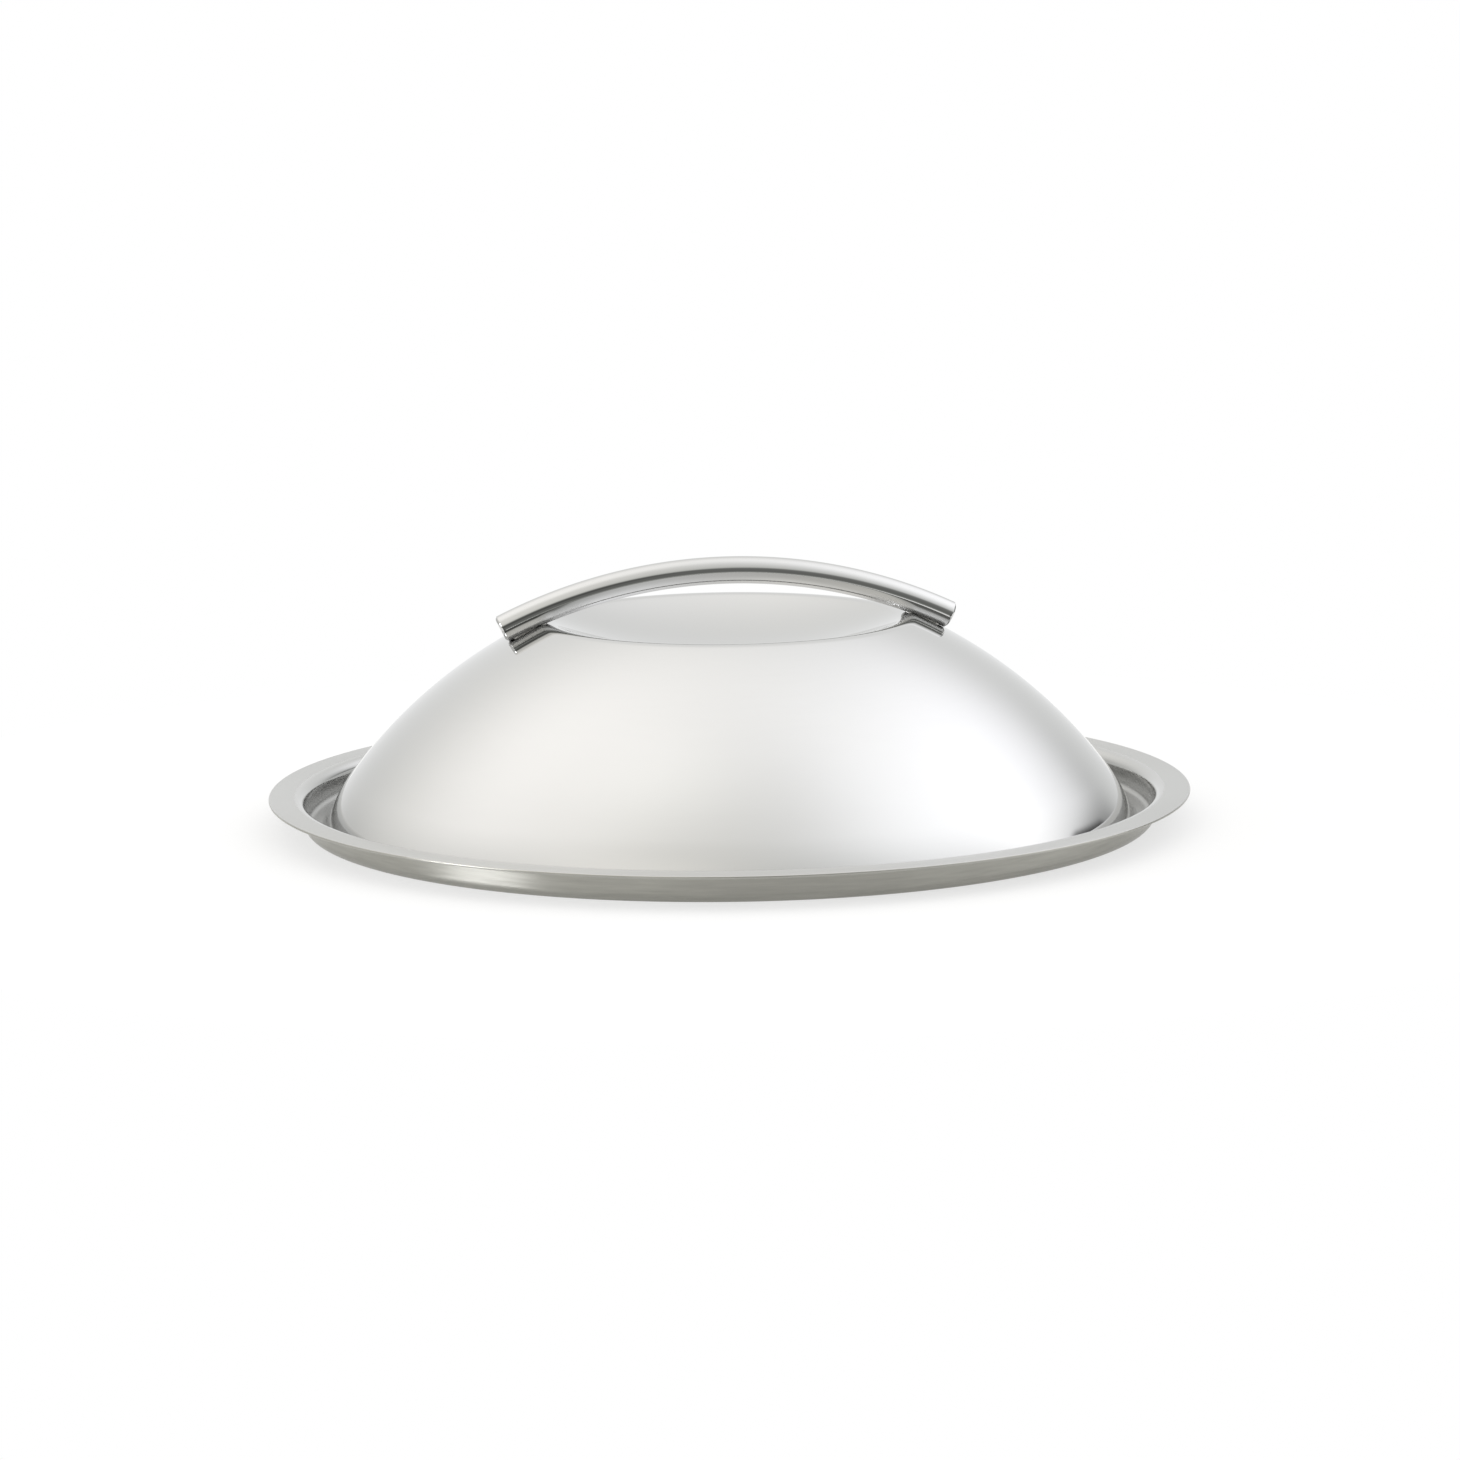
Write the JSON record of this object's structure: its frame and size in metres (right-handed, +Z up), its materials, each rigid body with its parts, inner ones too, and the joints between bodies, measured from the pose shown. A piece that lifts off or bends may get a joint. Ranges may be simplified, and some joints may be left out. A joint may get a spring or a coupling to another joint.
{
  "type": "domed pan lid",
  "caption": "Domed steel pan lid: a flat flange rests on the pan, a short plug drops inside, and a bent round rod is welded across the sunken crown as its handle.",
  "frame": {"origin": "on the lid's axis, level with the lowest point of the plug", "axes": "+Z up along the lid's axis, X along the handle"},
  "size_m": [0.256, 0.256, 0.0735],
  "materials": {
    "shell_steel": "dome and dish polished to a mirror, flange and plug satin with a circular grain",
    "rod_steel": "polished bright",
    "weld_steel": "fused metal, dull"
  },
  "bodies": {
    "root": {"lid_shell": "shell_steel", "handle_rod": "rod_steel", "handle_weld_left": "weld_steel", "handle_weld_right": "weld_steel"}
  },
  "joints": []
}
